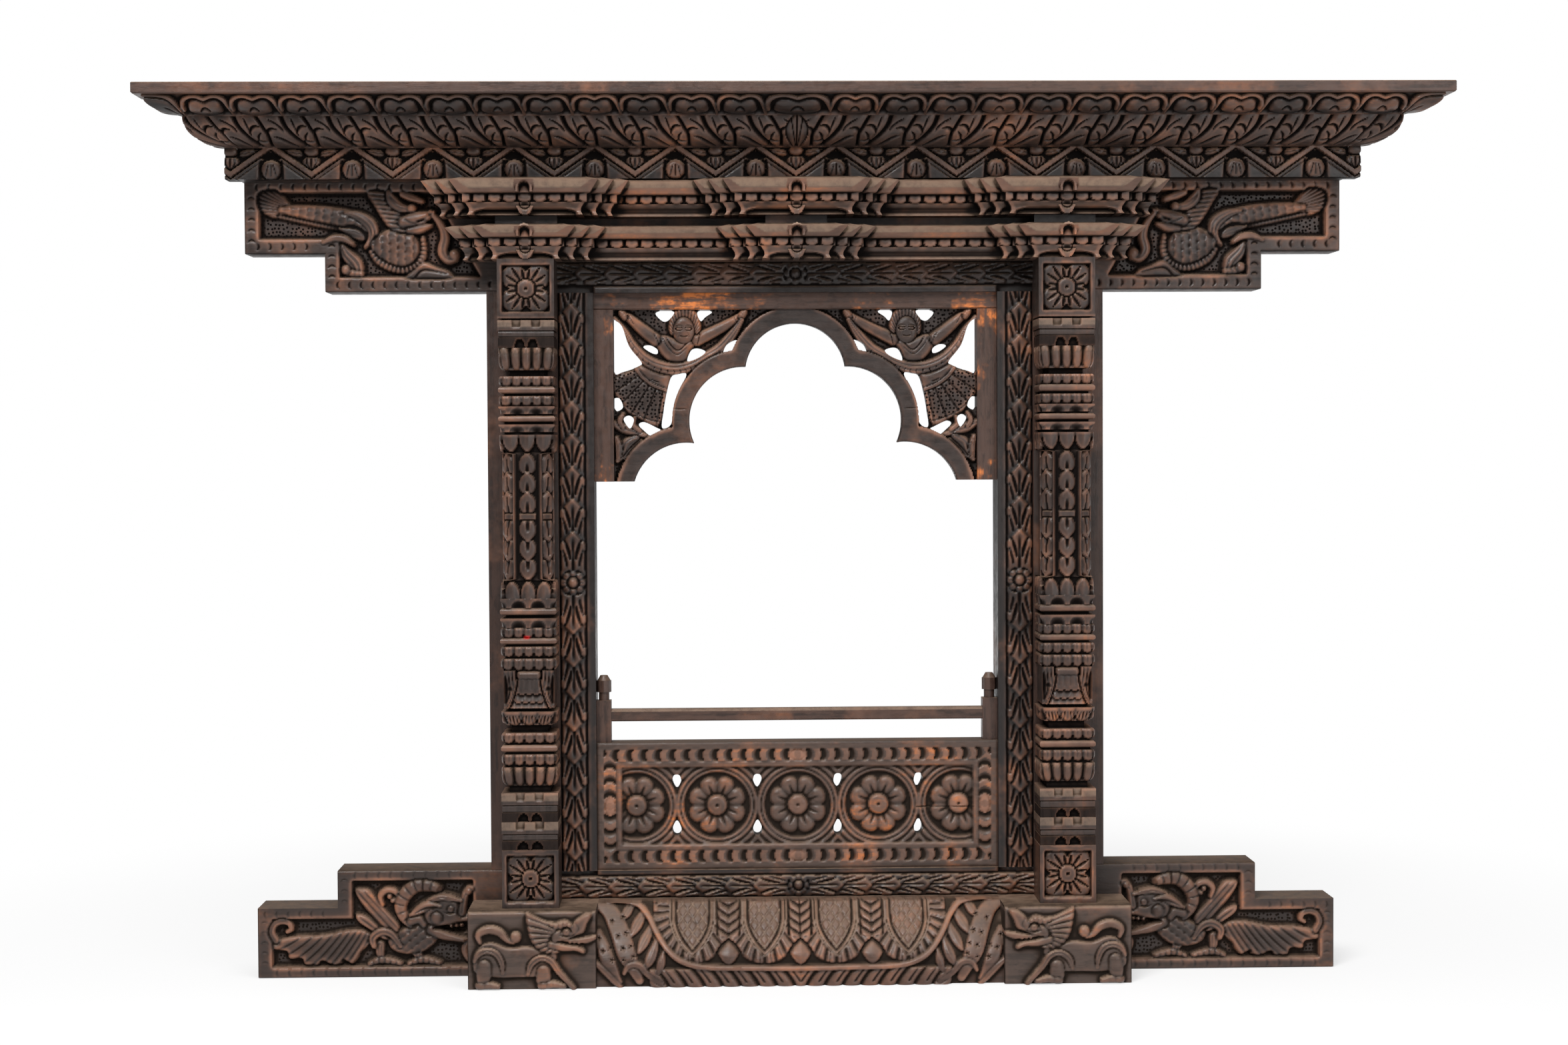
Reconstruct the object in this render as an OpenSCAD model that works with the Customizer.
// Carved hardwood window frame that stands on its own base blocks.
// Millimetres, +Z up, the carved front faces -Y. f is the distance forward of the flat back plane.

/* [Cornice] */
crown_width = 1500; // [1400:10:1600]
crown_height = 13; // [8:0.5:25]
crown_lip = 6; // [2:0.5:15]
lotus_height = 20; // [14:0.5:35]
lotus_reach = 37; // [20:0.5:50]
acanthus_height = 31.5; // [22:0.5:45]
acanthus_reach = 42; // [25:0.5:60]
zigzag_height = 35.5; // [25:0.5:50]
zigzag_front = 99; // [90:1:115]
return_depth = 30; // [20:1:60]

/* [Body] */
body_depth = 55; // [48:1:65]
opening_width = 480; // [420:5:560]
opening_height = 688; // [600:5:800]
leaf_stile_width = 42; // [34:1:52]
leaf_head_height = 36; // [30:1:48]
leaf_bottom_height = 33; // [26:1:45]
jamb_width = 83.5; // [75:0.5:100]

/* [Wings] */
upper_wing_inset = 16; // [0:1:60]
upper_wing_drop = 128; // [115:1:145]
upper_outer_drop = 83; // [70:1:95]
upper_step = 94; // [70:1:120]
lower_wing_reach = 643; // [600:5:700]
lower_wing_height = 127; // [110:1:145]
lower_outer_height = 83; // [70:1:95]
lower_step = 95; // [70:1:120]
wing_border = 17; // [12:0.5:22]
wing_recess = 11; // [7:0.5:14]

/* [Brackets] */
upper_tier_height = 43; // [36:0.5:50]
lower_tier_height = 40; // [34:0.5:48]
neck_height = 11; // [6:0.5:20]
upper_bay_half = 67; // [55:1:75]
lower_bay_half = 40; // [36:1:50]
bay_setback = 17; // [10:1:22]

/* [Columns] */
column_width = 66; // [56:1:72]
column_front = 112; // [100:1:125]

/* [Arch] */
arch_rail_height = 19.5; // [14:0.5:28]
arch_stile_width = 23; // [16:0.5:30]
arch_height = 204.5; // [190:0.5:230]
arch_ring = 20; // [14:0.5:24]

/* [Balustrade] */
panel_height = 152; // [140:1:170]
post_height = 80; // [66:1:95]
post_width = 17.5; // [12:0.5:24]
rail_height = 14.5; // [10:0.5:20]
rail_gap = 25; // [15:1:34]

/* [Base] */
threshold_height = 91; // [80:1:105]
lion_width = 149; // [135:1:160]
lion_front = 138; // [125:1:150]
sill_front = 130; // [118:1:142]
sill_lean = 46; // [30:1:55]

/* [Hidden] */
$fn = 48;
carve = 4;
lotus_front = zigzag_front + 2 + acanthus_reach;
acanthus_front = zigzag_front + 2;
total_depth = lotus_front + lotus_reach + crown_lip;
back_y = total_depth / 2;
lotus_half = crown_width / 2 - crown_lip - lotus_reach;
acanthus_half = lotus_half - acanthus_reach;
upper_wing_reach = acanthus_half - upper_wing_inset;
lip_return = return_depth / 5;
open_half = opening_width / 2;
leaf_half = open_half + leaf_stile_width;
jamb_half = leaf_half + jamb_width;
column_x = leaf_half + column_width / 2;
leaf_z = threshold_height;
open_z = leaf_z + leaf_bottom_height;
head_z = open_z + opening_height;
lintel_z = head_z + leaf_head_height;
lintel_height = upper_tier_height + neck_height + lower_tier_height;
cornice_z = lintel_z + lintel_height;
acanthus_z = cornice_z + zigzag_height;
lotus_z = acanthus_z + acanthus_height;
crown_z = lotus_z + lotus_height;
upper_tier_z = cornice_z - upper_tier_height;
lower_tier_z = lintel_z;
column_z = threshold_height;
column_height = lower_tier_z - column_z;
tier_flare = 19;
leaf_ground = body_depth - 5;
dark_wood = [0.27, 0.18, 0.14];
mid_wood = [0.36, 0.23, 0.17];
red_wood = [0.46, 0.27, 0.18];
dusty_wood = [0.52, 0.42, 0.34];

function flip(p) = [for (i = [len(p) - 1:-1:0]) [-p[i][0], p[i][1]]];
function shift(p, d) = [for (q = p) [q[0] + d[0], q[1] + d[1]]];
function arc(c, r, a0, a1, n) =
    [for (i = [0:n]) let (a = a0 + (a1 - a0) * i / n) [c[0] + r * cos(a), c[1] + r * sin(a)]];
function ovolo(out, h, n) = [for (i = [0:n]) let (a = 90 * i / n) [out * sin(a), h * (1 - cos(a))]];
function bend(a, b, c, d, t) =
    (2 * b + (c - a) * t + (2 * a - 5 * b + 4 * c - d) * t * t + (3 * b - a - 3 * c + d) * t * t * t) / 2;
function smooth(p, k) = let (n = len(p)) concat(
    [for (i = [0:n - 2]) for (j = [0:k - 1])
        bend(p[max(i - 1, 0)], p[i], p[i + 1], p[min(i + 2, n - 1)], j / k)], [p[n - 1]]);
function loop(p, k = 2) = let (n = len(p)) [for (i = [0:n - 1]) for (j = [0:k - 1])
    bend(p[(i + n - 1) % n], p[i], p[(i + 1) % n], p[(i + 2) % n], j / k)];
function edge(c, s) = [for (i = [0:len(c) - 1])
    let (a = c[max(i - 1, 0)], b = c[min(i + 1, len(c) - 1)], d = [b[0] - a[0], b[1] - a[1]], l = norm(d))
    [c[i][0] - s * d[1] / l * c[i][2], c[i][1] + s * d[0] / l * c[i][2]]];
// A stroke is a list of [x, z, half width]; its outline follows a smooth curve through the points.
function stroke(p, k = 3) = let (c = smooth(p, k), l = edge(c, 1), r = edge(c, -1), n = len(r))
    concat(l, [for (i = [0:n - 1]) r[n - 1 - i]]);
// Maps points drawn in box a = [x0, z0, x1, z1] into box b.
function fit(p, a, b) = let (sx = (b[2] - b[0]) / (a[2] - a[0]), sz = (b[3] - b[1]) / (a[3] - a[1]))
    [for (q = p) len(q) == 3
        ? [b[0] + (q[0] - a[0]) * sx, b[1] + (q[1] - a[1]) * sz, q[2] * min(sx, sz)]
        : [b[0] + (q[0] - a[0]) * sx, b[1] + (q[1] - a[1]) * sz]];
function total(s, n) = n == 0 ? 0 : s[n - 1][0] + total(s, n - 1);
function distinct(p) = [for (i = [0:len(p) - 1]) if (i == 0 || norm(p[i] - p[i - 1]) > 0.01) p[i]];

module slab(f0, f1) {
    translate([0, back_y - f0, 0]) rotate([90, 0, 0]) linear_extrude(f1 - f0) children();
}

module bar(x0, x1, prof) {
    translate([x0, back_y, 0]) rotate([90, 0, 90]) linear_extrude(x1 - x0)
        polygon([for (p = prof) [-p[0], p[1]]]);
}

module block(x0, x1, f0, f1, z0, z1) {
    translate([x0, back_y - f1, z0]) cube([x1 - x0, f1 - f0, z1 - z0]);
}

module mirrored() {
    mirror([1, 0, 0]) children();
}

// A run of moulding with mitred returns: prof holds [out, z] pairs from the bottom up.
module moulding(half, front, prof, back = 0) {
    n = len(prof) - 1;
    far = max([for (p = prof) p[0]]) + 5;
    side = concat([[half + prof[0][0], prof[0][1] - 5]], [for (p = prof) [half + p[0], p[1]]],
        [[half + prof[n][0], prof[n][1] + 5]]);
    intersection() {
        bar(-half - far, half + far, concat([[back, prof[0][1]]],
            [for (p = prof) [front + p[0], p[1]]], [[back, prof[n][1]]]));
        slab(back - 1, front + far) polygon(concat(side, flip(side)));
    }
}

// Takes the back of a cornice board away beyond the wings, so that only its moulded end stands out.
module cut_back(deep, z, height) {
    far = crown_width / 2 + 5;
    block(upper_wing_reach, far, -5, deep, z - 2, z + height + 2);
    block(-far, -upper_wing_reach, -5, deep, z - 2, z + height + 2);
}

module crown_board() {
    color(red_wood) difference() {
        translate([0, 0, crown_z]) moulding(crown_width / 2, total_depth,
            [[-1.5, 0], [0, 1.5], [0, crown_height - 1], [-1, crown_height]]);
        cut_back(lotus_front - lip_return, crown_z, crown_height);
    }
}

lotus_first = 65.5;
lotus_pitch = 55.05;
lotus_rim = [[-18, 0.5, 2.2], [-25, 7, 2.6], [-22, 15, 2.8], [-13, 18.5, 2.6], [-5, 17.5, 2.2],
    [0, 14.5, 2],
    [5, 17.5, 2.2], [13, 18.5, 2.6], [22, 15, 2.8], [25, 7, 2.6], [18, 0.5, 2.2]];
lotus_heart = [[-12, 1], [-17, 7], [-13, 12.5], [-6, 12], [0, 9.5], [6, 12], [13, 12.5], [17, 7],
    [12, 1]];

module lotus_petal(x, s) {
    k = lotus_height / 20;
    translate([x, lotus_z]) {
        polygon(stroke([for (p = lotus_rim) [p[0] * s, p[1] * k, p[2]]], 1));
        polygon([for (p = lotus_heart) [p[0] * s, p[1] * k]]);
    }
}

module lotus_cornice() {
    count = floor((lotus_half - lotus_first) / lotus_pitch);
    color(mid_wood) difference() {
        union() {
            translate([0, 0, lotus_z])
                moulding(lotus_half - carve, lotus_front - carve, ovolo(lotus_reach, lotus_height, 5));
            intersection() {
                translate([0, 0, lotus_z])
                    moulding(lotus_half, lotus_front, ovolo(lotus_reach, lotus_height, 5), lotus_front - 30);
                slab(lotus_front - 25, lotus_front + lotus_reach + 2) {
                    lotus_petal(0, 1.35);
                    for (i = [0:count], s = [-1, 1]) lotus_petal(s * (lotus_first + i * lotus_pitch), 1);
                }
            }
        }
        cut_back(lotus_front - lip_return, lotus_z, lotus_height);
    }
}

acanthus_pitch = 53.5;
acanthus_leaf = [[13, -1, 3], [9, 7, 7], [0, 16, 8.5], [-11, 25, 6.5], [-22, 32, 2.5]];
acanthus_lobe = [[20, 6, 2], [17, 13, 4], [10, 19, 3]];

module acanthus_half_row() {
    k = acanthus_height / 31.5;
    for (i = [0:floor((acanthus_half - 40) / acanthus_pitch)])
        translate([-38 - i * acanthus_pitch, acanthus_z]) {
            polygon(stroke([for (p = acanthus_leaf) [p[0], p[1] * k, p[2]]], 2));
            polygon(stroke([for (p = acanthus_lobe) [p[0], p[1] * k, p[2]]], 2));
        }
}

module acanthus_cornice() {
    color(mid_wood) difference() {
        union() {
            translate([0, 0, acanthus_z])
                moulding(acanthus_half - carve, acanthus_front - carve,
                    ovolo(acanthus_reach, acanthus_height, 5));
            intersection() {
                translate([0, 0, acanthus_z])
                    moulding(acanthus_half, acanthus_front, ovolo(acanthus_reach, acanthus_height, 5),
                        acanthus_front - 30);
                slab(acanthus_front - 25, acanthus_front + acanthus_reach + 2) {
                    acanthus_half_row();
                    mirrored() acanthus_half_row();
                    translate([0, acanthus_z]) polygon(stroke([[0, -1, 5], [0, 12, 12], [0, 24, 8],
                        [0, acanthus_height, 2]], 2));
                }
            }
        }
        cut_back(acanthus_front - lip_return, acanthus_z, acanthus_height);
    }
}

zig_pitch = 93.8;
zig_rib = 3.2;

module zigzag_cornice() {
    n = floor(2 * acanthus_half / zig_pitch) - 1;
    low = 4;
    high = zigzag_height - zig_rib - 1;
    pts = [for (i = [-n - 1:n + 1]) [i * zig_pitch / 2, (i % 2 == 0) ? low : high]];
    face = zigzag_front - carve;
    color(mid_wood) {
        difference() {
            translate([0, 0, cornice_z])
                moulding(acanthus_half - carve, face, [[-4, 0], [0, 3], [2, zigzag_height]]);
            cut_back(zigzag_front - return_depth, cornice_z, zigzag_height);
        }
        slab(face - 2, zigzag_front + 1) translate([0, cornice_z]) {
            polygon(concat([for (p = pts) [p[0], p[1] + zig_rib]],
                [for (i = [len(pts) - 1:-1:0]) [pts[i][0], pts[i][1] - zig_rib]]));
            for (i = [-floor(n / 2):floor(n / 2)]) translate([i * zig_pitch, 0]) {
                polygon(loop([[0, 11], [9, 18], [11, 24], [5, 26], [0, 24], [-5, 26], [-11, 24],
                    [-9, 18]]));
                translate([0, 30]) circle(r = 5);
                polygon(loop([[14, 29], [22, 25], [30, 30], [22, 32]], 2));
                polygon(loop([[-14, 29], [-22, 25], [-30, 30], [-22, 32]], 2));
            }
        }
        slab(face - 2, zigzag_front + 2) translate([0, cornice_z])
            for (i = [-floor(n / 2) - 0.5:floor(n / 2) + 0.5])
                translate([i * zig_pitch, 11.5]) circle(r = 10.5);
    }
}

// Upper wing: a sea-dragon with fan tail, scaled breast, mane and hanging trunk.
dragon_box = [-632.5, 829.5, -372, 931.5];
dragon_low = [
    [[-591, 915, 3], [-604, 921, 8], [-616, 926, 9], [-630, 931, 4]],
    [[-602, 908, 3], [-614, 911, 8], [-632, 917, 8]],
    [[-556, 871, 2], [-543, 876, 3.5], [-530, 875, 4], [-521, 870, 3]],
    [[-458, 832, 2], [-446, 839, 6], [-434, 838, 8], [-410, 832, 3]]];
dragon_mid = [
    [[-606, 911, 3], [-590, 911, 6], [-565, 909, 9], [-540, 905, 10], [-520, 899, 11], [-505, 888, 9],
        [-502, 876, 6], [-508, 868, 3]],
    [[-536, 868, 3], [-530, 858, 7], [-518, 846, 8], [-516, 839, 6]],
    [[-536, 838, 4], [-524, 836, 6], [-512, 836, 5]],
    [[-503, 931, 3], [-492, 918, 9], [-480, 904, 13], [-466, 892, 10], [-455, 884, 4]],
    [[-482, 930, 3], [-474, 918, 6], [-462, 912, 6], [-451, 911, 5]],
    [[-462, 929, 3], [-452, 923, 5], [-440, 922, 4]],
    [[-462, 896, 5], [-450, 899, 8], [-438, 902, 7], [-427, 908, 2]],
    [[-455, 888, 4], [-444, 889, 5], [-430, 890, 3]],
    [[-427, 906, 3], [-418, 893, 4], [-414, 878, 5], [-417, 862, 5], [-411, 852, 5], [-402, 855, 5]]];
dragon_breast = [-468, 862, 25];

module upper_wing_left() {
    x0 = -upper_wing_reach;
    z1 = cornice_z;
    za = z1 - upper_outer_drop;
    zb = z1 - upper_wing_drop;
    xs = x0 + upper_step;
    b = wing_border;
    floor_f = body_depth - wing_recess;
    room = [x0 + b, zb + b, -column_x - 57, z1 - 10.5];
    color(dark_wood) {
        difference() {
            slab(0, body_depth) polygon([[x0, za], [xs, za], [xs, zb], [-leaf_half, zb],
                [-leaf_half, z1], [x0, z1]]);
            slab(floor_f, body_depth + 1) polygon([[x0 + b, za + b], [xs + b, za + b], [xs + b, zb + b],
                [room[2], zb + b], [room[2] - 56, z1 - 10.5], [x0 + b, z1 - 10.5]]);
        }
        for (s = dragon_low) slab(floor_f - 1, body_depth - 5) polygon(stroke(fit(s, dragon_box, room)));
        for (s = dragon_mid) slab(floor_f - 1, body_depth - 2) polygon(stroke(fit(s, dragon_box, room)));
        breast = fit([dragon_breast], dragon_box, room)[0];
        slab(floor_f - 1, body_depth - 5) translate([breast[0], breast[1]]) circle(r = breast[2] + 4);
        slab(floor_f - 1, body_depth - 1) translate([breast[0], breast[1]]) circle(r = breast[2]);
    }
}

module upper_wing_right() {
    mirrored() upper_wing_left();
}

// Lower wing: a horned bird-dragon with leaf wing, scalloped tail and raised trunk.
bird_box = [-625, 12, -388, 114];
bird_low = [
    [[-612, 48, 2], [-619, 57, 3], [-613, 66, 3], [-604, 66, 4], [-601, 59, 5]],
    [[-498, 44, 4], [-500, 34, 6], [-494, 24, 5], [-482, 16, 6], [-476, 13, 3]],
    [[-496, 24, 4], [-506, 18, 4], [-513, 13, 3]],
    [[-468, 34, 4], [-458, 24, 5], [-446, 19, 4], [-436, 14, 3]],
    [[-458, 22, 4], [-468, 15, 4]],
    [[-402, 50, 3], [-399, 38, 5], [-402, 24, 3]]];
bird_mid = [
    [[-617, 46, 4], [-611, 38, 8], [-598, 28, 9], [-592, 24, 6]],
    [[-598, 46, 5], [-588, 34, 10], [-576, 21, 8]],
    [[-576, 46, 5], [-567, 34, 10], [-557, 20, 8]],
    [[-553, 52, 6], [-544, 38, 11], [-536, 24, 8]],
    [[-530, 59, 5], [-522, 48, 10], [-512, 38, 8], [-498, 40, 8], [-482, 46, 5]],
    [[-479, 48, 5], [-490, 62, 9], [-505, 79, 12], [-519, 93, 8], [-530, 99, 2]],
    [[-528, 74, 2], [-515, 70, 7], [-500, 60, 8], [-484, 50, 4]],
    [[-506, 92, 3], [-497, 100, 4], [-488, 98, 5], [-485, 90, 5]],
    [[-474, 84, 5], [-476, 96, 6], [-468, 107, 6], [-455, 108, 6], [-444, 105, 6], [-436, 101, 3]],
    [[-455, 94, 3], [-440, 92, 5], [-424, 94, 4], [-414, 90, 4]],
    [[-468, 75, 4], [-455, 77, 7], [-440, 79, 6], [-424, 84, 7], [-412, 80, 8], [-402, 70, 4]],
    [[-413, 82, 7], [-412, 96, 5], [-410, 106, 4], [-403, 109, 4], [-395, 105, 4]],
    [[-476, 44, 6], [-462, 42, 13], [-448, 46, 12], [-438, 56, 11], [-434, 63, 10], [-426, 66, 7],
        [-412, 70, 3]],
    [[-468, 72, 4], [-464, 60, 8], [-456, 52, 8]],
    [[-432, 56, 4], [-420, 50, 4], [-408, 47, 3], [-400, 52, 2]]];

module lower_wing_left() {
    x0 = -lower_wing_reach;
    xs = x0 + lower_step;
    b = wing_border;
    ze = lower_outer_height;
    zi = lower_wing_height;
    floor_f = body_depth - wing_recess;
    room = [x0 + b, 12, -jamb_half - 22, zi - 12];
    color(dark_wood) {
        difference() {
            slab(0, body_depth) polygon([[x0, 0], [-leaf_half, 0], [-leaf_half, zi], [xs, zi],
                [xs, ze], [x0, ze]]);
            slab(floor_f, body_depth + 1) polygon([[x0 + b, 12], [room[2], 12], [room[2], zi - 12],
                [xs + b, zi - 12], [xs + b, ze - 13], [x0 + b, ze - 13]]);
        }
        for (s = bird_low) slab(floor_f - 1, body_depth - 5) polygon(stroke(fit(s, bird_box, room)));
        for (s = bird_mid) slab(floor_f - 1, body_depth - 2) polygon(stroke(fit(s, bird_box, room)));
    }
}

module lower_wing_right() {
    mirrored() lower_wing_left();
}

module lintel() {
    color(dark_wood) block(-leaf_half, leaf_half, 0, body_depth, lintel_z, cornice_z);
}

module threshold() {
    color(dark_wood) block(-leaf_half, leaf_half, 0, body_depth, 0, threshold_height);
}

module jamb_left() {
    color(dark_wood)
        block(-jamb_half, -leaf_half, 0, body_depth, lower_wing_height, cornice_z - upper_wing_drop);
}

module jamb_right() {
    mirrored() jamb_left();
}

// Bracket beams: a long low span with three stepped bays, each with tabs, tongue and horseshoe.
tier_fascia = 14;
tier_tabs = 10;
bay_front = column_front + 1;
tab_pitch = 17.5;

function tier_profile(h) = [[0, 0], [-2.5, 4], [-2, 8], [2, tier_fascia], [5, tier_fascia + 0.5],
    [5, tier_fascia + tier_tabs], [9, tier_fascia + tier_tabs + 1], [tier_flare, h - 4],
    [zigzag_front - bay_front, h]];

function tab_row(half) = let (n = max(1, round(2 * half / tab_pitch)), p = 2 * half / n)
    concat([[half, tier_tabs], [-half, tier_tabs]], [for (i = [0:n - 1]) let (x = -half + p * (i + 0.5))
        each [[x - p * 0.5, 4], [x - p * 0.42, 4], [x - p * 0.34, 1.6], [x - p * 0.15, 0.2],
            [x + p * 0.15, 0.2],
            [x + p * 0.34, 1.6], [x + p * 0.42, 4]]], [[half, 4]]);

module tier_step(half, front, h) {
    moulding(half, front, tier_profile(h), body_depth);
    slab(body_depth, front + 9) translate([0, tier_fascia + 0.3]) polygon(tab_row(half + 7));
}

module bay(half, h) {
    for (k = [0:2]) tier_step(half + k * bay_setback, bay_front - k * 9, h);
    slab(body_depth, bay_front + 4) polygon(concat([[-8, tier_fascia + 1]], arc([0, 8.5], 8, 180, 360, 8),
        [[8, tier_fascia + 1]]));
    slab(body_depth, bay_front + tier_flare + 1) polygon(concat(
        arc([0, tier_fascia + tier_tabs + 5.5], 8.5, 200, -20, 12),
        arc([0, tier_fascia + tier_tabs + 5.5], 4.5, -20, 200, 8)));
}

module bracket_beam(half, h) {
    moulding(column_x + half + 2 * bay_setback - 1, bay_front - 30, tier_profile(h), body_depth);
    slab(body_depth, bay_front - 21) translate([0, tier_fascia + 0.3])
        polygon(tab_row(column_x + half + 2 * bay_setback + 6));
    for (x = [-column_x, 0, column_x]) translate([x, 0, 0]) bay(half, h);
}

module upper_bracket() {
    color(dusty_wood) translate([0, 0, upper_tier_z]) bracket_beam(upper_bay_half, upper_tier_height);
}

module lower_bracket() {
    color(dusty_wood) translate([0, 0, lower_tier_z]) bracket_beam(lower_bay_half, lower_tier_height);
}

module neck_block(x) {
    color(dark_wood) translate([x, 0, 0])
        block(-36, 36, body_depth, zigzag_front - 4, upper_tier_z - neck_height, upper_tier_z);
}

module neck_block_left() { neck_block(-column_x); }
module neck_block_center() { neck_block(0); }
module neck_block_right() { neck_block(column_x); }

// Column: two stacks of [height, setback below, setback above] from the foot up and from the head down.
foot_stack = [[68, 0, 0], [11, 6, 6], [8, 4, 4], [14, 0, 0], [11, 8, 8], [9, 6, 6], [14, 1, 1], [8, 8, 8],
    [10, 8, 1], [12, 1, 1], [2, 4, 4], [13, 2, 2], [3, 5, 5], [2, 4, 2], [4, 2, 2], [2, 2, 4],
        [2, 6, 6], [12, 2, 2],
    [9, 12, 12], [12, 10, 3], [8, 11, 5], [22, 5, 1], [22, 1, 8], [14, 2, 2], [2, 6, 6], [12, 3, 3],
        [3, 6, 6],
    [7, 2, 2], [12, 3, 3], [11, 5, 2], [4, 6, 6], [8, 2, 2], [11, 3, 6], [21, 6, 2]];
head_stack = [[69, 0, 0], [2, 5, 5], [12, 0, 0], [8, 5, 5], [12, 10, 10], [13, 0, 1], [13, 1, 8],
    [7, 12, 12],
    [12, 4, 4], [8, 2, 2], [3, 6, 6], [12, 2, 2], [9, 5, 7], [2, 7, 4], [7, 3, 3], [3, 6, 6],
        [9, 4, 6], [3, 7, 7],
    [21, 1, 5]];
shaft_setback = 3;

function foot_profile(s) = [for (i = [0:len(s) - 1])
    each [[-s[i][1], total(s, i)], [-s[i][2], total(s, i + 1)]]];
function head_profile(s) = [for (i = [len(s) - 1:-1:0])
    each [[-s[i][2], column_height - total(s, i + 1)], [-s[i][1], column_height - total(s, i)]]];

function flower(r, n, dip) = [for (i = [0:6 * n - 1]) let (a = i * 60 / n, k = abs(cos(a * n / 2)))
    [r * (1 - dip + dip * sqrt(k)) * cos(a), r * (1 - dip + dip * sqrt(k)) * sin(a)]];

module petal_cuts(z, h, n, w) {
    for (i = [1:n - 1]) translate([-w / 2 + i * w / n, z])
        polygon([[-1.4, 0], [1.4, 0], [0.7, h], [-0.7, h]]);
}

module block_face(z, size) {
    slab(column_front - 5, column_front + 1) translate([0, z + size / 2])
        square(size - 11, center = true);
}

module block_flower(z, size) {
    slab(column_front - 6, column_front - 1.5) translate([0, z + size / 2])
        rotate(45) polygon(flower(size * 0.42, 4, 0.55));
    slab(column_front - 6, column_front - 2.5) translate([0, z + size / 2])
        polygon(flower(size * 0.4, 4, 0.6));
    slab(column_front - 6, column_front) translate([0, z + size / 2]) circle(r = 10.5);
}

module column_left() {
    half = column_width / 2;
    foot = total(foot_stack, len(foot_stack));
    head = column_height - total(head_stack, len(head_stack));
    chamfer = half * 0.45;
    color(mid_wood) translate([-column_x, 0, column_z]) {
        difference() {
            moulding(half, column_front, distinct(concat(foot_profile(foot_stack),
                [[-shaft_setback, foot], [-shaft_setback, head]], head_profile(head_stack))), body_depth);
            for (s = [-1, 1]) translate([s * (half - shaft_setback),
                back_y - column_front + shaft_setback, foot])
                rotate([0, 0, 45]) translate([-chamfer / 1.42, -chamfer / 1.42, 0])
                    cube([chamfer * 1.42, chamfer * 1.42, head - foot]);
            block_face(0, 68);
            block_face(column_height - 69, 69);
            slab(column_front - 14, column_front + 1) {
                petal_cuts(foot - 21, 21, 4, 60);
                petal_cuts(210, 24, 4, 62);
                petal_cuts(160, 16, 4, 62);
                petal_cuts(column_height - 129, 26, 4, 62);
                petal_cuts(column_height - 222, 20, 4, 60);
                petal_cuts(148, 10, 4, 62);
            }
        }
        block_flower(0, 68);
        block_flower(column_height - 69, 69);
        slab(column_front - 6, column_front) for (i = [0:4], s = [-1, 1])
            translate([0, (foot + head) / 2]) polygon(loop(shift([[0, 4], [6, 10], [4, 16], [0, 19],
                [-4, 16], [-6, 10]],
                [0, i * 14]) * [[1, 0], [0, s]], 1));
    }
}

module column_right() {
    mirrored() column_left();
}

// Laurel strips: leaves overlap like tiles and turn back to back at a rosette.
leaf_tilt = 5;
leaf_thick = 5;
stile_pitch = 38.5;
rail_pitch = 34.5;

function leaf_outline(w, l) = let (h = [[w * 0.3, 0], [w * 0.5, l * 0.22], [w * 0.4, l * 0.5],
    [w * 0.44, l * 0.64], [w * 0.26, l * 0.86]]) concat(h, [[0, l]], flip(h));

module leaf_tile(w, l) {
    rotate([90 + leaf_tilt, 0, 0]) linear_extrude(leaf_thick) polygon(leaf_outline(w, l));
}

// A row runs both ways along +Z and -Z from its middle.
module leaf_row(length, w, pitch, r) {
    n = floor((length / 2 - r - 4) / pitch);
    gap = (length / 2 - r) / n;
    for (s = [0, 180], i = [0:n - 1]) rotate([0, s, 0])
        translate([0, back_y - leaf_ground + 3.5, r - 3 + i * gap]) leaf_tile(w - 2, gap * 1.07);
    slab(leaf_ground - 2, leaf_ground + 6) polygon(flower(r, 8, 0.25));
    slab(leaf_ground - 2, leaf_ground + 8) circle(r = r * 0.4);
}

module leaf_stile_left() {
    strip = 10;
    w = leaf_stile_width - strip;
    color(mid_wood) {
        block(-leaf_half, -open_half, 0, leaf_ground, open_z, head_z);
        block(-open_half - strip, -open_half, leaf_ground - 1, leaf_ground + 3, open_z, head_z);
        translate([-leaf_half + w / 2, 0, (open_z + head_z) / 2]) leaf_row(opening_height, w,
            stile_pitch, 15.5);
    }
}

module leaf_stile_right() {
    mirrored() leaf_stile_left();
}

module leaf_head_rail() {
    strip = 8;
    h = leaf_head_height - strip;
    color(mid_wood) {
        block(-leaf_half, leaf_half, 0, leaf_ground, head_z, lintel_z);
        block(-open_half, open_half, leaf_ground - 1, leaf_ground + 3, head_z, head_z + strip);
        translate([0, 0, lintel_z - h / 2]) rotate([0, 90, 0]) leaf_row(2 * leaf_half, h, rail_pitch, 13.2);
    }
}

module leaf_bottom_rail() {
    strip = 6;
    h = leaf_bottom_height - strip;
    color(mid_wood) {
        block(-leaf_half, leaf_half, 0, leaf_ground, leaf_z, open_z);
        block(-open_half, open_half, leaf_ground - 1, leaf_ground + 3, open_z - strip, open_z);
        translate([0, 0, leaf_z + h / 2]) rotate([0, 90, 0]) leaf_row(2 * leaf_half, h, rail_pitch, 12.5);
    }
}

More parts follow.
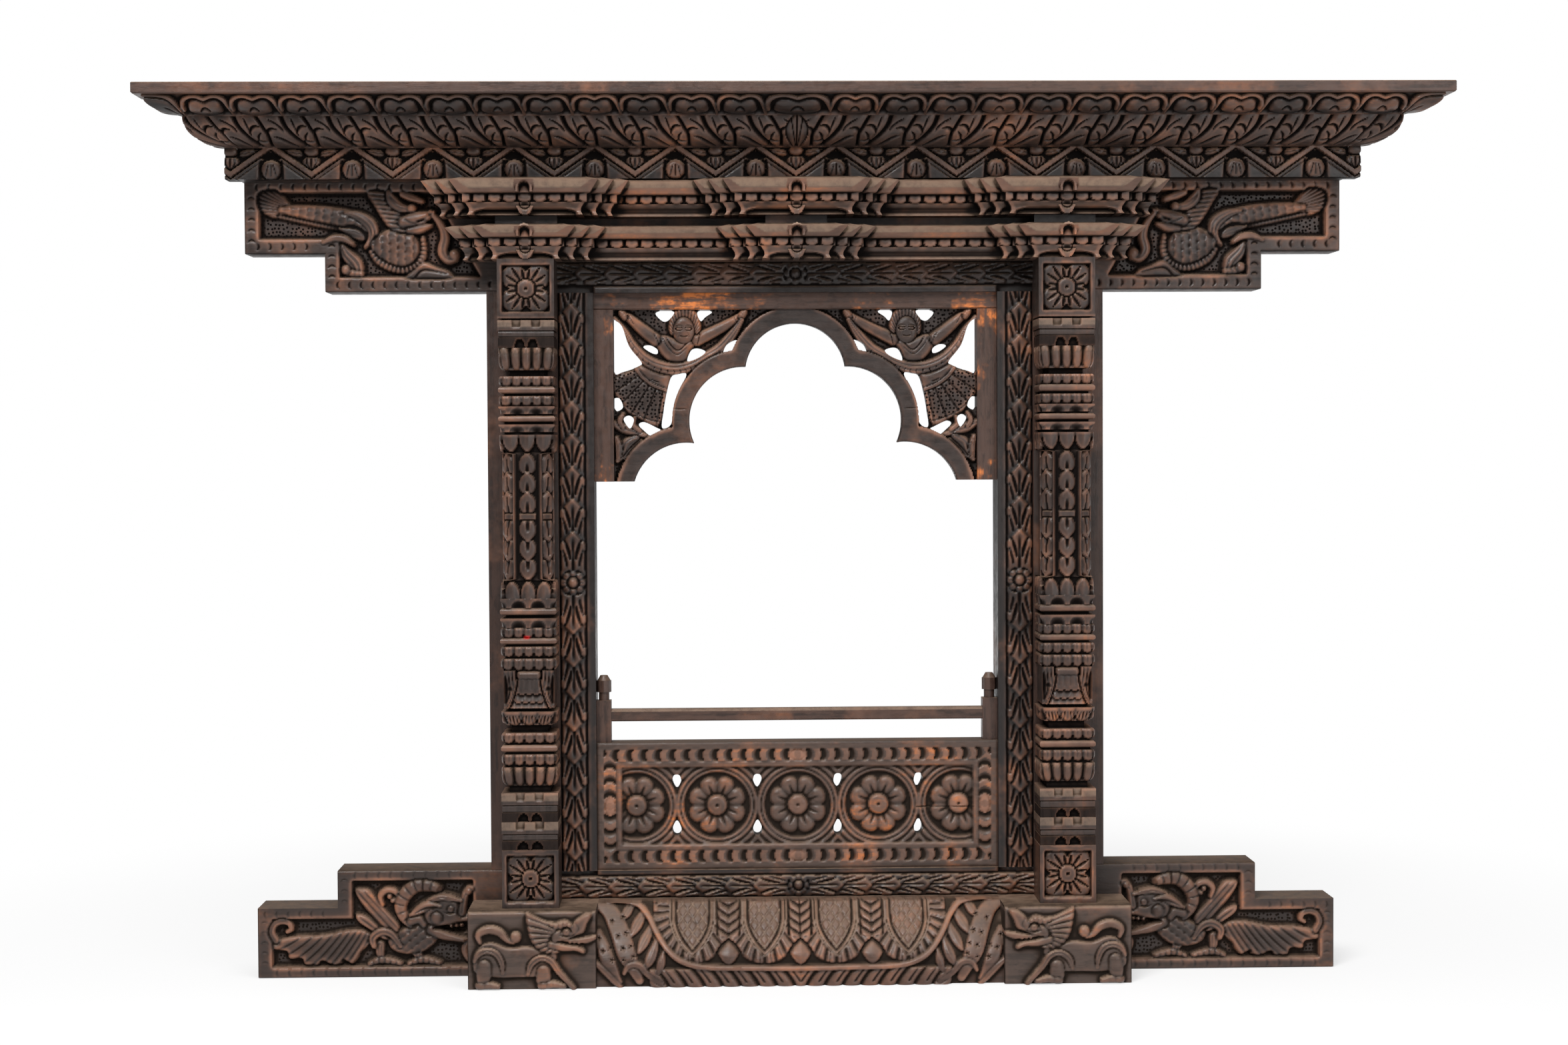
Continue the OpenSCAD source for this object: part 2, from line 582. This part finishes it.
// Arch: plain rails round one pierced board with a cusped ring and a figure in each corner.
rail_back = 12;
rail_front = 42;
board_back = 18;
board_front = 38;
arch_z = head_z - arch_rail_height - arch_height;
arch_half = open_half - arch_stile_width;
arch_top = arch_z + arch_height;
figure_box = [-217, 588, 0, 792.5];
figure_room = [-arch_half, arch_z, 0, arch_top];
lobes = [[0, 716, 60], [-62.6, 660, 64.5], [-131, 569, 65]];
lobe_fit = fit(lobes, figure_box, figure_room);
figure_holes = [
    [[-217, 776], [-214, 780], [-206, 772], [-198, 749], [-184, 731], [-186, 726], [-205, 719],
        [-216, 720]],
    [[-167, 789], [-155, 792], [-144, 790], [-150, 781], [-158, 779]],
    [[-117, 790], [-107, 791], [-99, 790], [-107, 784], [-113, 779]],
    [[-182, 749], [-174, 751], [-165, 746], [-165, 740], [-173, 742]],
    [[-129, 731], [-125, 744], [-117, 747], [-107, 743], [-114, 736]],
    [[-86, 740], [-82, 751], [-70, 757], [-68, 751], [-77, 742]],
    [[-149, 712], [-141, 716], [-130, 716], [-139, 697], [-146, 676], [-149, 656], [-160, 652],
        [-158, 672],
        [-155, 690]],
    [[-188, 656], [-181, 659], [-166, 652], [-160, 648], [-172, 642], [-182, 649]],
    [[-216, 687], [-210, 687], [-206, 677], [-213, 672], [-216, 677]],
    [[-206, 662], [-200, 667], [-193, 662], [-198, 651]]];
figure_strokes = [
    [[-203, 788, 3], [-196, 782, 5.5], [-181, 768, 6.5], [-166, 757, 7]],
    [[-64, 787, 4], [-72, 780, 5], [-94, 768, 6], [-118, 756, 7]],
    [[-213, 783, 2.5], [-204, 768, 4], [-194, 749, 5], [-179, 733, 6], [-160, 725, 6.5], [-140, 723, 6.5],
        [-122, 727, 6], [-106, 736, 6], [-90, 746, 6], [-75, 763, 5], [-63, 780, 3]],
    [[-190, 722, 3], [-180, 713, 7], [-168, 706, 10], [-156, 703, 9], [-151, 704, 5]],
    [[-215, 656, 4], [-204, 650, 6], [-190, 645, 4], [-174, 640, 2]],
    [[-213, 616, 3], [-206, 622, 7], [-200, 632, 8], [-186, 638, 4]]];
torso = [[-166, 757], [-160, 741], [-150, 732], [-133, 731], [-126, 744], [-116, 757], [-124, 762],
    [-142, 752],
    [-156, 760]];
skirt = [[-216, 717], [-205, 718], [-188, 721], [-176, 706], [-154, 696], [-158, 672], [-165, 653],
    [-183, 661],
    [-201, 671], [-209, 684], [-216, 692]];

module arch_head_rail() {
    color(red_wood) bar(-open_half, open_half, [[rail_back, arch_top], [rail_front - 1.5, arch_top],
        [rail_front, arch_top + 1.5], [rail_front, head_z], [rail_back, head_z]]);
}

module arch_stile_left() {
    color(red_wood) block(-open_half, -arch_half, rail_back, rail_front, arch_z, arch_top);
}

module arch_stile_right() {
    mirrored() arch_stile_left();
}

module lobe_rods(grow, f0, f1) {
    for (l = lobe_fit, s = [-1, 1]) slab(f0, f1) translate([s * l[0],
        l[1]]) circle(r = l[2] + grow, $fn = 96);
}

module figure() {
    slab(board_back, board_front - 3) polygon(fit(skirt, figure_box, figure_room));
    slab(board_back, board_front - 2) polygon(fit(torso, figure_box, figure_room));
    for (s = figure_strokes) slab(board_back, board_front) polygon(stroke(fit(s, figure_box,
        figure_room)));
    head = fit([[-132, 769, 16]], figure_box, figure_room)[0];
    slab(board_back, board_front) translate([head[0], head[1]]) polygon([for (a = [0:20:340])
        [head[2] * cos(a), head[2] * 1.15 * sin(a)]]);
    slab(board_back, board_front + 2) translate([head[0], head[1] - 5]) polygon([for (a = [0:20:340])
        [head[2] * 0.7 * cos(a), head[2] * 0.75 * sin(a)]]);
}

module spandrel() {
    difference() {
        slab(board_back, board_front - 8) polygon([[-arch_half, arch_z], [0, arch_z], [0, arch_top],
            [-arch_half, arch_top]]);
        for (h = figure_holes) slab(board_back - 1, board_front) polygon(loop(fit(h, figure_box,
            figure_room)));
    }
    figure();
}

module arch_panel() {
    mid = fit([[-131, 588], [-62.6, 660], [0, 716]], figure_box, figure_room);
    color(mid_wood) difference() {
        union() {
            spandrel();
            mirrored() spandrel();
            intersection() {
                lobe_rods(arch_ring, board_back, board_front);
                block(-arch_half, arch_half, board_back, board_front, arch_z, arch_top);
            }
        }
        lobe_rods(0, board_back - 1, board_front + 5);
        slab(board_back - 1, board_front + 5) polygon(concat([[mid[0][0], arch_z - 1]],
            mid, flip([mid[0], mid[1]]),
            [[-mid[0][0], arch_z - 1]]));
    }
}

// Balustrade: pierced rosette panel in a beaded border, two newels and a hand rail.
panel_back = 14;
panel_front = 47;
panel_z = open_z;
panel_top = panel_z + panel_height;
rosette_pitch = 96.5;
rosette_r = 48;
panel_margin = 8;
panel_band = 15;

module rosette() {
    difference() {
        circle(r = rosette_r);
        circle(r = rosette_r - 7);
    }
    rotate(22.5) polygon(flower(35, 8, 0.4));
}

module balustrade_panel() {
    mid_z = panel_z + panel_height / 2;
    field_x = open_half - panel_margin - panel_band - 6;
    field_z = panel_height / 2 - panel_margin - panel_band - 5;
    floor_f = panel_front - 9;
    color(mid_wood) {
        difference() {
            block(-open_half, open_half, panel_back, panel_front, panel_z, panel_top);
            block(-field_x, field_x, floor_f, panel_front + 1, mid_z - field_z, mid_z + field_z);
            for (x = [-1.5:1.5], s = [-1, 1]) slab(panel_back - 1, floor_f + 1)
                translate([x * rosette_pitch, mid_z + s * 28])
                    polygon(loop([[0, -10 * s], [5, -1 * s], [4, 7 * s], [0, 9 * s], [-4, 7 * s],
                        [-5, -1 * s]]));
            difference() {
                block(-open_half + panel_margin, open_half - panel_margin, panel_front - 3,
                    panel_front + 1,
                    panel_z + panel_margin, panel_top - panel_margin);
                block(-field_x - 6, field_x + 6, panel_front - 5, panel_front + 3, mid_z - field_z - 5,
                    mid_z + field_z + 5);
            }
        }
        intersection() {
            block(-field_x, field_x, floor_f - 1, panel_front, mid_z - field_z, mid_z + field_z);
            for (i = [-2:2]) translate([i * rosette_pitch, 0, mid_z]) {
                slab(floor_f - 1, panel_front - 2) rosette();
                slab(floor_f - 1, panel_front) circle(r = 12);
            }
        }
        for (s = [-1, 1]) {
            n = floor((open_half - 20) / 17);
            slab(panel_front - 4, panel_front - 0.5) for (i = [-n:n])
                translate([i * 17, mid_z + s * (panel_height / 2 - panel_margin - panel_band / 2)])
                    circle(r = 6);
            slab(panel_front - 4, panel_front - 0.5) for (i = [-2:2])
                translate([s * (open_half - panel_margin - panel_band / 2),
                    mid_z + i * 18]) circle(r = 6);
        }
    }
}

module newel_left() {
    f0 = 22;
    f1 = f0 + post_width;
    w = post_width / 2;
    color(red_wood) translate([-open_half + w, 0, panel_top]) {
        block(-w, w, f0, f1, 0, post_height - 30);
        translate([0, back_y - (f0 + f1) / 2, post_height - 30]) {
            cylinder(r = w * 0.72, h = 12);
            translate([0, 0, 10]) cylinder(r = w * 1.0, h = 14, $fn = 8);
            translate([0, 0, 24]) cylinder(r1 = w * 0.9, r2 = w * 0.5, h = 6);
        }
    }
}

module newel_right() {
    mirrored() newel_left();
}

module hand_rail() {
    z0 = panel_top + rail_gap;
    x = open_half - post_width;
    color(red_wood) bar(-x, x, [[24, z0], [37, z0], [38.5, z0 + 1.5], [38.5, z0 + rail_height - 3],
        [35.5, z0 + rail_height], [26, z0 + rail_height], [24, z0 + rail_height - 2]]);
}

// Base blocks: a lion in profile that faces the middle.
lion_box = [-387, 0, -238, 91];
lion_low = [
    [[-373, 57, 2], [-374, 65, 3], [-364, 71, 3.5], [-351, 68, 4.5], [-341, 58, 3], [-334, 54, 1.5]],
    [[-376, 46, 5], [-360, 44, 10], [-340, 34, 16], [-318, 32, 18], [-300, 38, 12]],
    [[-276, 56, 2], [-262, 55, 2.5], [-248, 57, 4], [-239, 60, 2]]];
lion_mid = [
    [[-317, 88, 2], [-313, 72, 5], [-306, 60, 9], [-297, 51, 9], [-285, 44, 3]],
    [[-312, 84, 3], [-298, 79, 5], [-284, 77, 4], [-268, 74, 4]],
    [[-300, 66, 8], [-288, 58, 9], [-276, 62, 8], [-264, 70, 7], [-254, 80, 6], [-247, 87, 4]],
    [[-290, 49, 4], [-275, 49, 4], [-262, 48, 3], [-253, 45, 3]],
    [[-366, 34, 8], [-367, 22, 9], [-368, 10, 8]],
    [[-373, 5, 4.5], [-362, 4.6, 4.2], [-351, 3.6, 3]],
    [[-300, 29, 8], [-299, 18, 9], [-297, 10, 8.5]],
    [[-302, 5, 4.5], [-288, 5, 4.5], [-275, 3.6, 3]],
    [[-316, 20, 3], [-312, 32, 3.5], [-300, 38, 4], [-288, 32, 4], [-280, 20, 4], [-266, 4, 3]],
    [[-378, 36, 3], [-372, 44, 3.5], [-362, 46, 3.5], [-352, 41, 3.5], [-347, 30, 3], [-346, 20, 2]]];

module lion_block_left() {
    x1 = -leaf_half + lion_width - 105;
    room = [x1 - lion_width, 0, x1, threshold_height];
    ground = lion_front - 8;
    ball = fit([[-331, 61, 6]], lion_box, room)[0];
    color(dusty_wood) {
        bar(room[0], x1, [[body_depth, 0], [ground, 0], [ground, threshold_height - 4],
            [ground - 4, threshold_height],
            [body_depth, threshold_height]]);
        for (s = lion_low) slab(ground - 1, lion_front - 3) polygon(stroke(fit(s, lion_box, room)));
        for (s = lion_mid) slab(ground - 1, lion_front) polygon(stroke(fit(s, lion_box, room)));
        slab(ground - 1, lion_front) translate([ball[0], ball[1]]) circle(r = ball[2]);
    }
}

module lion_block_right() {
    mirrored() lion_block_left();
}

// Sill: its face leans back above a leaf garland, with shields that hold pine-cone hearts.
sill_half = leaf_half - lion_width + 105;
sill_height = threshold_height;
shield_pitch = sill_half / 2.83;
sill_box = [-238, 0, 0, 97];
sill_room = [-sill_half, 0, 0, sill_height];
garland = [[-204, 93, 3], [-190, 90, 3], [-178, 78, 3], [-168, 60, 3], [-155, 42, 3], [-140, 30, 3],
    [-118, 23, 3],
    [-80, 21, 3], [-40, 20.5, 3], [0, 20, 3]];

// The leaning face, set back by d from its foremost surface.
module sill_body(back, d) {
    rise = sill_height - 18;
    bar(-sill_half, sill_half, concat([[back, 0], [sill_front - d, 0]],
        [for (i = [0:5]) let (t = i / 5) [sill_front - d - sill_lean * t * t * (1.6 - 0.6 * t),
            18 + rise * t]],
        [[back, sill_height]]));
}

module sill_side() {
    polygon(stroke(fit([[-229, 88, 5], [-218, 76, 8], [-210, 52, 9], [-203, 30, 8], [-194, 14, 7]],
        sill_box, sill_room)));
    polygon(stroke(fit(garland, sill_box, sill_room)));
    for (i = [0:6]) {
        x = -12 - i * 21;
        polygon(stroke(fit([[x - 4, 16, 2], [x + 3, 10, 5], [x + 8, 3, 4]], sill_box, sill_room), 2));
    }
    for (i = [0:3]) {
        x = -166 - i * 9;
        z = 24 + i * 17;
        polygon(stroke(fit([[x + 7, z + 12, 2], [x - 2, z + 4, 5], [x - 3, z - 8, 3]],
            sill_box, sill_room), 2));
    }
}

module shield_hearts() {
    h = sill_height / 97;
    for (i = [-1.5:1.5]) translate([i * shield_pitch, 0])
        polygon(concat([[0, 46 * h]], arc([0, 72 * h], 21, -35, 0, 3), [[21, sill_height + 1],
            [-21, sill_height + 1]],
            arc([0, 72 * h], 21, 180, 215, 3)));
    for (i = [-1:1], k = [0:3]) translate([i * shield_pitch, sill_height - 12 * (k + 1)])
        polygon([[0, -2], [8, 3], [9, 9], [0, 4], [-9, 9], [-8, 3]]);
}

module shield_petals() {
    h = sill_height / 97;
    for (i = [-1.5:1.5]) translate([i * shield_pitch, 0])
        polygon(concat(arc([0, 64 * h], 36, 200, 340, 12), [[34, sill_height + 1],
            [-34, sill_height + 1]]));
}

module sill_panel() {
    color(dusty_wood) {
        sill_body(body_depth, 7);
        intersection() {
            sill_body(body_depth + 5, 3);
            slab(body_depth + 8, sill_front + 1) shield_petals();
        }
        intersection() {
            sill_body(body_depth + 5, 0);
            slab(body_depth + 8, sill_front + 1) {
                shield_hearts();
                sill_side();
                mirrored() sill_side();
            }
        }
    }
}

crown_board();
lotus_cornice();
acanthus_cornice();
zigzag_cornice();
upper_wing_left();
upper_wing_right();
lintel();
upper_bracket();
lower_bracket();
neck_block_left();
neck_block_center();
neck_block_right();
jamb_left();
jamb_right();
column_left();
column_right();
leaf_stile_left();
leaf_stile_right();
leaf_head_rail();
leaf_bottom_rail();
arch_head_rail();
arch_stile_left();
arch_stile_right();
arch_panel();
balustrade_panel();
newel_left();
newel_right();
hand_rail();
threshold();
sill_panel();
lion_block_left();
lion_block_right();
lower_wing_left();
lower_wing_right();
